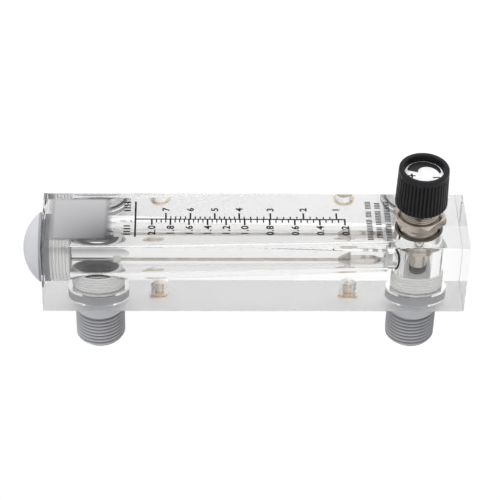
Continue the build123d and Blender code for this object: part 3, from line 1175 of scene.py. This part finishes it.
@dataclass
class ValveAssembly:
    """The plated bonnet, its nut and gasket, and the stem with its piston."""

    ease: float = 0.3
    flange_r: float = 9.9
    flange_bottom: float = -8.8
    chamber_top: float = -11.0
    groove_half: float = 0.48
    groove_depth: float = 0.9
    shoulder_r: float = 8.5
    shoulder_end: float = -17.1
    neck_top: float = -26.9
    neck_drop: float = 0.1
    bore_r: float = 6.88
    step: float = -20.5
    neck: ScrewThread = ScrewThread(7.55, 8.0, -26.4, -17.3, 1.0, 0.1, 0.3)
    stem_hole_r: float = 4.08
    piston_r: float = 6.8
    piston_top: float = -15.5
    piston_ease: float = 0.35
    ring_depth: float = 1.6
    ring_places: Span = (-10.2, -13.0)
    ring_half: float = 0.83
    disc_holder: Outline = ((0.0, 2.6), (3.0, 2.6), (3.0, 2.0), (2.2, 2.0), (2.2, 0.0))
    thread_r: float = 4.0
    thread_end: float = -28.0
    shaft_r: float = 3.0
    stem_end: float = -38.6
    gasket_r: float = 8.9
    gasket_hole_r: float = 8.1
    nut_flats: float = 19.5
    nut_near: float = -18.5
    nut_thick: float = 3.6
    nut_turn: float = 17.0
    nut_hole_r: float = 8.05
    nut_ease: float = 0.2
    nut_near_ease: float = 0.1
    nut_crown: float = 0.15
    nut_sharp: float = 20.0

    def _bonnet(self) -> Mesh:
        """Turn the bonnet and cut the thread on its neck.

        Returns:
            The bonnet.
        """
        groove_r = (self.shoulder_r + self.flange_r) / 2
        outside, inside = groove_r + self.groove_half, groove_r - self.groove_half
        top, floor = self.chamber_top, self.chamber_top + self.groove_depth
        mesh = turned([
            (self.bore_r, self.flange_bottom), (self.flange_r - self.ease, self.flange_bottom),
            (self.flange_r, self.flange_bottom - self.ease), (self.flange_r, top),
            (outside, top), (outside, floor), (inside, floor), (inside, top),
            (self.shoulder_r, top), (self.shoulder_r, self.shoulder_end),
            *reversed(self.neck.rows(8)), (self.neck.root - self.neck_drop, self.neck_top),
            (self.stem_hole_r + self.ease, self.neck_top), (self.stem_hole_r, self.neck_top + self.ease),
            (self.stem_hole_r, self.step), (self.bore_r, self.step),
        ])
        self.neck.cut(mesh)
        return mesh

    def _nut(self) -> Mesh:
        """Make the hexagon nut, with its outer corners turned off at 30 degrees.

        Returns:
            The nut.
        """
        slope, flat_r = math.radians(30), self.nut_flats / 2
        corner = flat_r / math.cos(slope)
        near, far = self.nut_near, self.nut_near - self.nut_thick
        hole, ease, crown = self.nut_hole_r, self.nut_ease, flat_r - self.nut_crown
        drop = (corner - crown) * math.tan(slope)
        mesh = turned([
            (hole, near - ease), (hole + ease, near), (corner - ease, near),
            (corner, near - self.nut_near_ease), (corner, far + drop), (crown, far),
            (hole + ease, far), (hole, far + ease),
        ], 144)
        for index in range(6):
            angle = math.radians(index * 60 + self.nut_turn)
            outward = Vector((math.cos(angle), math.sin(angle), 0.0))
            flat = bmesh.ops.bisect_plane(
                mesh, geom=mesh.verts[:] + mesh.edges[:] + mesh.faces[:], dist=1e-7,
                plane_co=outward * flat_r * MM, plane_no=outward, clear_outer=True)
            rim = [item for item in flat["geom_cut"] if isinstance(item, bmesh.types.BMEdge)]
            bmesh.ops.holes_fill(mesh, edges=rim, sides=0)
        bmesh.ops.recalc_face_normals(mesh, faces=mesh.faces)
        return mesh

    def _stem(self) -> Mesh:
        """Turn the stem with its grooved piston.

        Returns:
            The stem.
        """
        grooves = []
        inner, half = self.piston_r - self.ring_depth, self.ring_half
        for place in self.ring_places:
            grooves += [(self.piston_r, place + half), (inner, place + half),
                        (inner, place - half), (self.piston_r, place - half)]
        return turned([
            *self.disc_holder, (self.piston_r - self.piston_ease, 0.0), (self.piston_r, -self.piston_ease),
            *grooves, (self.piston_r, self.piston_top + self.ease),
            (self.piston_r - self.ease, self.piston_top),
            (self.thread_r, self.piston_top), (self.thread_r, self.thread_end),
            (self.shaft_r, self.thread_end), (self.shaft_r, self.stem_end), (0.0, self.stem_end),
        ])

    def build(self, rubber: Material) -> None:
        """Make the four pieces and dress them.

        Args:
            rubber: The gasket's rubber.
        """
        turn = Turn.THROUGH_THE_INLET
        # The neck's thread gets painted shade at its roots.
        plated = TurnedMetal("nickel_plate", NICKEL, turn, 0.2, thread=self.neck).make()
        seat = FRONT - CONTACT
        gasket = turned([(self.gasket_hole_r, self.nut_near), (self.gasket_r, self.nut_near),
                         (self.gasket_r, seat), (self.gasket_hole_r, seat)])
        for name, mesh, material, sharp, body, slot, node in (
                ("plated_bonnet", self._bonnet(), plated, SHARP, "meter", "nickel_plate", "valve_bonnet"),
                ("hexagon_nut", self._nut(), plated, self.nut_sharp, "meter", "nickel_plate", "bonnet_nut"),
                ("narrow_gasket", gasket, rubber, SHARP, "meter", "seal_rubber", "nut_gasket"),
                ("turned_stem", self._stem(), plated, SHARP, "spindle", "nickel_plate", "valve_stem")):
            fit_piece(make_object(name, mesh, material, turn.place, sharp), body, slot, node)


@dataclass
class ControlKnob:
    """The fluted black knob and the marked disc in its recess."""

    bottom: float = -27.4
    top: float = -45.5
    base_r: float = 10.85
    top_r: float = 10.35
    corner: float = 0.7
    foot_ease: Span = (0.25, 0.4)
    flutes: int = 42
    flute_depth: float = 0.5
    flute_runout: float = 1.0
    flute_shape: float = 0.8
    band: float = 1.9
    recess_r: float = 8.2
    recess_floor: float = -42.2
    recess_rim: float = 0.35
    recess_ease: Span = (0.1, 0.3)
    skin: float = 0.3
    wall: float = 1.9
    roof: float = -38.3
    cavity_taper: float = 0.5
    hub_r: float = 4.7
    hub_short: float = 1.0
    shaft_r: float = 3.03
    shaft_stop: float = 2.4
    screw_hole_r: float = 3.0
    label_thick: float = 0.3
    label_gap: float = 0.2
    label_ease: float = 0.08
    mark_lift: float = 0.02
    mark_thick: float = 0.03
    arrow_r: float = 7.8
    arrow_draw: float = 0.9
    arrow_tail_r: float = 6.3
    arrow_growth: float = 3.9
    arrow_turn: Span = (2.0, 162.0)
    arrow_points: int = 28
    sign_bars: tuple[tuple[Span, Span], ...] = (
        ((-1.4, -5.0), (0.7, 2.9)), ((-1.4, -5.0), (2.7, 0.75)), ((-2.5, 4.9), (0.75, 3.0)))

    def _radius(self, height: float) -> float:
        """Give the outside radius at a height."""
        share = (height - self.top) / (self.bottom - self.top)
        return self.top_r + (self.base_r - self.top_r) * share

    def _body(self) -> Mesh:
        """Turn the knob and press its flutes into the side.

        Returns:
            The knob.
        """
        start, hub_end = self.top + self.band, self.bottom - self.hub_short
        full = start + self.flute_runout
        (foot_in, foot_up), (ease_in, ease_up) = self.foot_ease, self.recess_ease
        side = [start + self.flute_runout * index / 4 for index in range(5)]
        side += [full + (self.bottom - foot_up - full) * index / 5 for index in range(1, 6)]
        rounding = [(self._radius(self.top) - self.corner * (1 - math.sin(turn)),
                     self.top + self.corner * (1 - math.cos(turn)))
                    for turn in (math.radians(step * 18) for step in range(6))]
        cavity_r = self.base_r - self.wall - self.flute_depth
        mesh = turned([
            (self.recess_r + self.recess_rim, self.top), *rounding,
            *((self._radius(height), height) for height in side),
            (self._radius(self.bottom) - foot_in, self.bottom), (cavity_r, self.bottom),
            (cavity_r - self.cavity_taper, self.roof), (self.hub_r, self.roof), (self.hub_r, hub_end),
            (self.shaft_r, hub_end), (self.shaft_r, self.recess_floor + self.shaft_stop),
            (self.screw_hole_r, self.recess_floor), (self.recess_r - ease_in, self.recess_floor),
            (self.recess_r, self.recess_floor - ease_up), (self.recess_r + ease_in, self.top + ease_up),
        ], self.flutes * 8)
        for vert in mesh.verts:
            radius = math.hypot(vert.co.x, vert.co.y) / MM
            height = vert.co.z / MM
            if height < start or radius < self._radius(height) - self.skin:
                continue
            swing = math.atan2(vert.co.y, vert.co.x) / math.tau * self.flutes % 1.0
            rise = min(1.0, (height - start) / self.flute_runout)
            groove = max(0.0, math.cos(math.tau * (swing - 0.5))) ** self.flute_shape
            vert.co.xy *= 1.0 - self.flute_depth * groove * math.sqrt(rise) / radius
        return mesh

    def _label(self) -> Mesh:
        """Make the thin disc on the recess floor.

        Returns:
            The disc.
        """
        outer, ease = self.recess_r - self.label_gap, self.label_ease
        low = self.recess_floor - self.label_thick
        return turned([(0.0, self.recess_floor), (outer, self.recess_floor), (outer, low + ease),
                       (outer - ease, low), (0.0, low)])

    def _marks(self) -> Mesh:
        """Lay the turning arrow and the plus and minus signs on the label.

        Returns:
            Thin slabs about the knob's axis, whose own X is the meter's X and own Y is down the block.
        """
        low = (self.recess_floor - self.label_thick - self.mark_lift) * MM
        mesh = bmesh.new()
        first, last = self.arrow_turn
        previous = []
        for index in range(self.arrow_points):
            share = index / (self.arrow_points - 1)
            angle = math.radians(first + (last - first) * share)
            inside = self.arrow_tail_r - self.arrow_growth * share
            outside = self.arrow_r - self.arrow_draw * (2 * share - 1) ** 4
            ring = [mesh.verts.new((math.sin(angle) * radius * MM, math.cos(angle) * radius * MM, low))
                    for radius in (inside, outside)]
            if previous:
                mesh.faces.new((*previous, *reversed(ring)))
            previous = ring
        for (x, y), (wide, long) in self.sign_bars:
            bar = bmesh.ops.create_grid(mesh, x_segments=1, y_segments=1, size=0.5)
            bmesh.ops.scale(mesh, vec=(wide * MM, long * MM, 1.0), verts=bar["verts"])
            bmesh.ops.translate(mesh, vec=(x * MM, y * MM, low), verts=bar["verts"])
        bmesh.ops.recalc_face_normals(mesh, faces=mesh.faces)
        thicken(mesh, self.mark_thick)
        return mesh

    def build(self) -> None:
        """Make the knob, its label and the marks and dress them."""
        place = Turn.THROUGH_THE_INLET.place
        black = MouldedPlastic("black_plastic", BLACK_ABS, (0.36, 0.5), relief=7e-6, sheen=0.25).make()
        white = PrintedInk("white_label", (0.66, 0.66, 0.67)).make()
        ink = PrintedInk("label_ink", (0.012, 0.012, 0.012)).make()
        knob = make_object("fluted_knob", self._body(), black, place)
        fit_piece(knob, "spindle", "black_plastic", "knob")
        label = make_object("turn_label", self._label(), white, place)
        fit_piece(label, "spindle", "white_label", "knob_label")
        marks = make_object("turn_marks", self._marks(), ink, place, SHARP_PRINT)
        fit_piece(marks, "spindle", "white_label")


@dataclass(frozen=True)
class Ladder:
    """One side of the scale, in its own unit of flow.

    Attributes:
        steps: Its first and last graduation.
        unit: Flow from one graduation to the next.
        per_gallon: How many of its units make a gallon.
        group: Graduations from one number to the next.
        decimals: Decimals of its numbers.
        minor: How far a plain graduation goes, to the right if positive.
        major: How far a numbered one goes.
        left: Where its numbers and the unit's bars start.
        tall: Height of the digits.
        stretch: How much wider than the plain digits they are.
    """

    steps: tuple[int, int]
    unit: float
    per_gallon: float
    group: int
    decimals: int
    minor: float
    major: float
    left: float
    tall: float
    stretch: float


@dataclass
class ScalePrint:
    """The flow scale printed on the front face: two sets of graduations on one line."""

    thick: float = 0.03
    sink: float = 0.01
    line_x: float = 0.6
    axis_width: float = 0.68
    major_width: float = 0.72
    minor_width: float = 0.5
    header_height: float = 137.4
    header_span: Span = (-10.75, 12.0)
    header_width: float = 0.75
    unit_span: Span = (139.4, 142.2)
    unit_bar: float = 0.8
    unit_step: float = 1.75
    unit_bars: int = 4
    boldness: float = 0.03
    spacing: float = 1.12
    marks: tuple[Span, ...] = ((0.2, 50.8), (1.0, 92.3), (2.0, 130.6))
    ladders: tuple[Ladder, ...] = (Ladder((4, 40), 0.05, 1.0, 4, 1, -2.2, -3.7, -9.5, 3.2, 1.06),
                                   Ladder((5, 35), 0.2, 3.785, 5, 0, 1.8, 4.0, 5.7, 3.0, 1.13))
    rows: tuple[tuple[float, float, tuple[int, ...]], ...] = (
        (40.7, -12.3, (13, 4, 5)), (36.8, -11.1, (7, 9, 4)), (32.9, -13.1, (11, 13)))
    row_tall: float = 2.4
    row_bar: float = 0.55
    row_step: float = 1.02
    row_gap: float = 1.3

    def _height(self, gallons: float) -> float:
        """Give the height of a flow on the scale.

        Args:
            gallons: The flow, in gallons a minute.

        Returns:
            Its height up the block.
        """
        lows = [mark for mark in self.marks[:-1] if mark[0] <= gallons] or [self.marks[0]]
        low = lows[-1]
        high = self.marks[self.marks.index(low) + 1]
        return low[1] + (high[1] - low[1]) * (gallons - low[0]) / (high[0] - low[0])

    def _bar(self, mesh: Mesh, x_span: Span, z_span: Span) -> None:
        """Add one thin rectangle of ink.

        Args:
            mesh: The print's mesh.
            x_span: Its two sides.
            z_span: Its bottom and top.
        """
        back = FRONT + self.sink
        add_box(mesh, x_span, (back - self.thick, back), z_span)

    def _line(self, mesh: Mesh, x_span: Span, height: float, width: float) -> None:
        """Add a level line of ink, centred on a height."""
        self._bar(mesh, x_span, (height - width / 2, height + width / 2))

    def _number(self, mesh: Mesh, text: str, height: float, ladder: Ladder) -> None:
        """Add a number of the scale, with its middle at its graduation's height.

        Args:
            mesh: The print's mesh.
            text: The digits.
            height: The height of its middle.
            ladder: The side of the scale that it stands on.
        """
        curve = bpy.data.curves.new("digits", "FONT")
        curve.body = text
        curve.resolution_u = 4
        curve.offset = self.boldness
        curve.space_character = self.spacing
        holder = bpy.data.objects.new("digits", curve)
        bpy.context.scene.collection.objects.link(holder)
        graph = bpy.context.evaluated_depsgraph_get()
        flat = bpy.data.meshes.new_from_object(holder.evaluated_get(graph))
        digits = bmesh.new()
        digits.from_mesh(flat)
        bpy.data.objects.remove(holder)
        bpy.data.curves.remove(curve)
        bpy.data.meshes.remove(flat)
        bmesh.ops.remove_doubles(digits, verts=digits.verts, dist=1e-5)
        low = min(vert.co.y for vert in digits.verts)
        high = max(vert.co.y for vert in digits.verts)
        size = ladder.tall / (high - low)
        bmesh.ops.translate(digits, vec=(0.0, -(low + high) / 2, 0.0), verts=digits.verts)
        bmesh.ops.scale(digits, vec=(size * ladder.stretch * MM, size * MM, 1.0), verts=digits.verts)
        thicken(digits, self.thick)
        place = Matrix.Translation((ladder.left * MM, (FRONT + self.sink) * MM, height * MM))
        bmesh.ops.transform(digits, matrix=place @ Matrix.Rotation(math.pi / 2, 4, "X"), verts=digits.verts)
        add_mesh(mesh, digits)

    def _side(self, mesh: Mesh, ladder: Ladder) -> None:
        """Add the graduations and numbers of one side.

        Args:
            mesh: The print's mesh.
            ladder: The side of the scale.
        """
        first, last = ladder.steps
        for step in range(first, last + 1):
            flow = step * ladder.unit
            height = self._height(flow / ladder.per_gallon)
            numbered = step % ladder.group == 0
            reach = ladder.major if numbered else ladder.minor
            span = (min(self.line_x, self.line_x + reach), max(self.line_x, self.line_x + reach))
            self._line(mesh, span, height, self.major_width if numbered else self.minor_width)
            if numbered:
                self._number(mesh, f"{flow:.{ladder.decimals}f}", height, ladder)

    def build(self) -> None:
        """Lay out the whole print, as one piece, and dress it."""
        mesh = bmesh.new()
        half = self.axis_width / 2
        self._line(mesh, self.header_span, self.header_height, self.header_width)
        self._bar(mesh, (self.line_x - half, self.line_x + half),
                  (self._height(self.marks[0][0]) - half, self.header_height))
        for ladder in self.ladders:
            self._side(mesh, ladder)
        for height, left, words in self.rows:
            for count in words:
                for _ in range(count):
                    self._line(mesh, (left, left + self.row_bar), height, self.row_tall)
                    left += self.row_step
                left += self.row_gap
        for ladder in self.ladders:
            for left in (ladder.left + index * self.unit_step for index in range(self.unit_bars)):
                self._bar(mesh, (left, left + self.unit_bar), self.unit_span)
        ink = PrintedInk("scale_ink", (0.004, 0.004, 0.004), sheen=0.15).make()
        fit_piece(make_object("scale_print", mesh, ink, sharp=SHARP_PRINT), "meter", "clear_acrylic")


@dataclass
class ScaleShadeFilm:
    """A sheet of painted shade on the scale face above the scale."""

    thick: float = 0.04
    sink: float = 0.01
    x_span: Span = (-13.3, 14.5)
    z_span: Span = (146.9, 173.9)

    def build(self) -> None:
        """Lay the sheet and dress it with its painted shade."""
        mesh = bmesh.new()
        back = FRONT + self.sink
        add_box(mesh, self.x_span, (back - self.thick, back), self.z_span)
        film = PaintedShadeFilm(x_span=self.x_span, z_span=self.z_span).make()
        fit_piece(make_object("painted_shade_film", mesh, film), "meter", "clear_acrylic")


@dataclass
class Studio:
    """The pale floor, the surrounding light and the lamps.

    The tones are pairs of direction and level: 0 looks to the front of the block and 1 to its back.
    """

    floor_size: float = 2.0
    floor_drop: float = 0.0003
    floor_paper: float = 0.85
    floor_bright: float = 1.06
    floor_share: float = 0.9
    fill_gain: float = 1.8
    deep_after: float = 3.5
    deep_share: float = 0.84
    outer_tones: Tones = ((0.0, 0.78), (0.17, 0.8), (0.5, 0.78), (0.8, 0.97), (0.86, 0.97),
                          (0.93, 0.84), (1.0, 0.8))
    deep_tones: Tones = ((0.0, 0.62), (0.17, 0.6), (0.5, 0.4), (0.8, 0.84), (0.86, 0.86),
                         (0.93, 0.78), (1.0, 0.72))
    fill_tones: Tones = ((0.0, 0.98), (1.0, 0.3))
    cool: float = 1.01
    aim: Point = (0.0, 0.0, 0.088)

    def _floor(self) -> None:
        """Lay the floor, white to the camera with the object's soft shadow on it."""
        mesh = bmesh.new()
        bmesh.ops.create_grid(mesh, x_segments=1, y_segments=1, size=self.floor_size / 2)
        bmesh.ops.translate(mesh, vec=(0.0, 0.0, -self.floor_drop), verts=mesh.verts)
        material = bpy.data.materials.new("studio_floor")
        material.use_nodes = True
        graph = Graph(material.node_tree)
        graph.tree.nodes.remove(graph.tree.nodes["Principled BSDF"])
        path = graph.add("LightPath").outputs
        paper = graph.add("BsdfDiffuse", Color=(*(self.floor_paper,) * 3, 1.0))
        deep = graph.math("GREATER_THAN", path["Transmission Depth"], self.deep_after)
        level = graph.math("SUBTRACT", 1.0, graph.math("MULTIPLY", deep, 1.0 - self.deep_share))
        tone = graph.mix(path["Is Camera Ray"], level, (*(self.floor_bright,) * 3, 1.0))
        bright = graph.add("Emission", Strength=1.0, Color=tone)
        bent = graph.math("MAXIMUM", path["Is Glossy Ray"], path["Is Transmission Ray"])
        seen = graph.math("MAXIMUM", path["Is Camera Ray"], bent)
        both = graph.add("MixShader", Fac=graph.math("MULTIPLY", seen, self.floor_share))
        graph.feed(paper.outputs[0], both.inputs[1])
        graph.feed(bright.outputs[0], both.inputs[2])
        graph.feed(both.outputs[0], graph.tree.nodes["Material Output"].inputs["Surface"])
        make_object("floor", mesh, material)

    def _tone(self, graph: Graph, level: Socket, tones: Tones) -> Socket:
        """Give the tone of the surround for a direction, a little cooler than grey."""
        return graph.ramp(level, [(place, (tone, tone, tone * self.cool)) for place, tone in tones])

    def _surround(self) -> None:
        """Set the light that comes from all round: pale behind, greyer at the sides and through the bore."""
        world = bpy.data.worlds.new("studio")
        bpy.context.scene.world = world
        world.use_nodes = True
        graph = Graph(world.node_tree)
        back = graph.tree.nodes["Background"].inputs
        towards = graph.split(graph.add("TexCoord").outputs["Generated"])["Y"]
        level = graph.math("ADD", graph.math("MULTIPLY", towards, 0.5), 0.5)
        path = graph.add("LightPath").outputs
        deep = graph.math("GREATER_THAN", path["Transmission Depth"], self.deep_after)
        bounced = graph.math("GREATER_THAN", path["Diffuse Depth"], 0.5)
        colour = self._tone(graph, level, self.outer_tones)
        for mask, tones in ((deep, self.deep_tones), (bounced, self.fill_tones),
                            (path["Is Camera Ray"], WHITE)):
            colour = graph.mix(mask, colour, self._tone(graph, level, tones))
        graph.feed(colour, back["Color"])
        gain = graph.math("MULTIPLY", bounced, self.fill_gain - 1.0)
        graph.feed(graph.math("ADD", gain, 1.0), back["Strength"])

    def _lamp(self, name: str, place: Vector, size: float, watts: float) -> None:
        """Hang one square soft lamp that looks at the middle of the meter.

        Args:
            name: The lamp's name.
            place: Where it hangs, in metres.
            size: Its side, in metres.
            watts: Its power.
        """
        lamp = bpy.data.lights.new(name, "AREA")
        lamp.shape = "SQUARE"
        lamp.size = size
        lamp.energy = watts
        holder = bpy.data.objects.new(name, lamp)
        holder.visible_glossy = False
        holder.visible_transmission = False
        aim = Vector(self.aim) - place
        holder.matrix_world = Matrix.Translation(place) @ aim.to_track_quat("-Z", "Y").to_matrix().to_4x4()
        bpy.context.scene.collection.objects.link(holder)

    def build(self) -> None:
        """Set up the floor, the surround and the lamps."""
        self._floor()
        self._surround()
        self._lamp("front_soft", Vector((-0.2, -1.1, 0.45)), 0.8, 5.0)
        self._lamp("top_soft", Vector((-0.5, -0.4, 1.0)), 0.5, 3.0)
        scene = bpy.context.scene
        scene.view_settings.view_transform = "Standard"
        scene.cycles.max_bounces = 32
        scene.cycles.glossy_bounces = 24
        scene.cycles.transmission_bounces = 32


@dataclass
class PhotoCamera:
    """The camera that sees the meter lying on its ports, as the photograph does.

    Its angles are in degrees and measured with the meter lying down: the valve to the right, the
    scale up. Its distance is in metres.
    """

    tilt: float = 40.65
    swing: float = 2.36
    roll: float = 1.68
    distance: float = 0.875
    lens: float = 150.48
    target: Point = (0.0, -1.3, 89.7)

    def build(self) -> None:
        """Place the camera and make it the scene's own."""
        tilt, swing, roll = (math.radians(angle) for angle in (self.tilt, self.swing, self.roll))
        right = Vector((math.cos(swing), -math.sin(swing), 0.0))
        ahead = Vector((math.sin(swing) * math.cos(tilt), math.cos(swing) * math.cos(tilt), -math.sin(tilt)))
        above = right.cross(ahead)
        level = math.cos(roll) * right + math.sin(roll) * above
        upright = math.cos(roll) * above - math.sin(roll) * right
        stand_up = Matrix(((0, 1, 0), (0, 0, -1), (-1, 0, 0)))
        level, upright, ahead = (stand_up @ line for line in (level, upright, ahead))
        facing = Matrix((level, upright, -ahead)).transposed().to_4x4()
        eye = Vector(self.target) * MM - ahead * self.distance
        data = bpy.data.cameras.new("photo_camera")
        data.lens = self.lens
        data.sensor_width = 36.0
        data.clip_start = 0.01
        camera = bpy.data.objects.new("photo_camera", data)
        camera.matrix_world = Matrix.Translation(eye) @ facing
        bpy.context.scene.collection.objects.link(camera)
        bpy.context.scene.camera = camera


def dress_kept_solids(frame: dict, rubber: Material) -> None:
    """Give the solids that stay as they are their finishes.

    Args:
        rubber: The black rubber.
    """
    greyed = SealRubber("greyed_silicone", (0.33, 0.33, 0.345)).make()
    olive = SealRubber("olive_rubber", (0.17, 0.145, 0.1)).make()
    silicone = SealRubber("pale_silicone", (0.74, 0.74, 0.72)).make()
    natural = MouldedPlastic("natural_plastic", (0.8, 0.8, 0.78)).make()
    screw = TurnedMetal("screw_steel", STEEL, Turn.THROUGH_THE_INLET, 0.25).make()
    finishes = {
        "inlet_port_ring": silicone, "outlet_port_ring": silicone, "outlet_plug_ring": greyed,
        "bonnet_ring": olive, "stem_ring_outer": rubber, "stem_ring_inner": rubber, "seal_disc": rubber,
        "rod_support": natural, "float_stop": natural, "knob_screw": screw,
    }
    for name, material in finishes.items():
        for slot in frame["nodes"][name].material_slots:
            slot.material = material
        log.info("%s: dressed in %s", name, material.name)


def main() -> None:
    logging.basicConfig(level=logging.INFO, format="%(message)s")
    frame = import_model()
    PhotoCamera().build()
    Studio().build()
    rubber = SealRubber().make()
    dress_kept_solids(frame, rubber)
    ClearBlock().build()
    PipePort().build("inlet_pipe_port", Turn.THROUGH_THE_INLET, "inlet_port", with_seat=True)
    PipePort().build("outlet_pipe_port", Turn.THROUGH_THE_OUTLET, "outlet_port", with_seat=False)
    DomedPlug().build()
    FloatAssembly().build()
    ValveAssembly().build(rubber)
    ControlKnob().build()
    PanelInsert().build("lower_brass_insert", Turn.LOWER_INSERT, "insert_lower")
    PanelInsert().build("upper_brass_insert", Turn.UPPER_INSERT, "insert_upper")
    ScalePrint().build()
    ScaleShadeFilm().build()


if __name__ == "__main__":
    main()
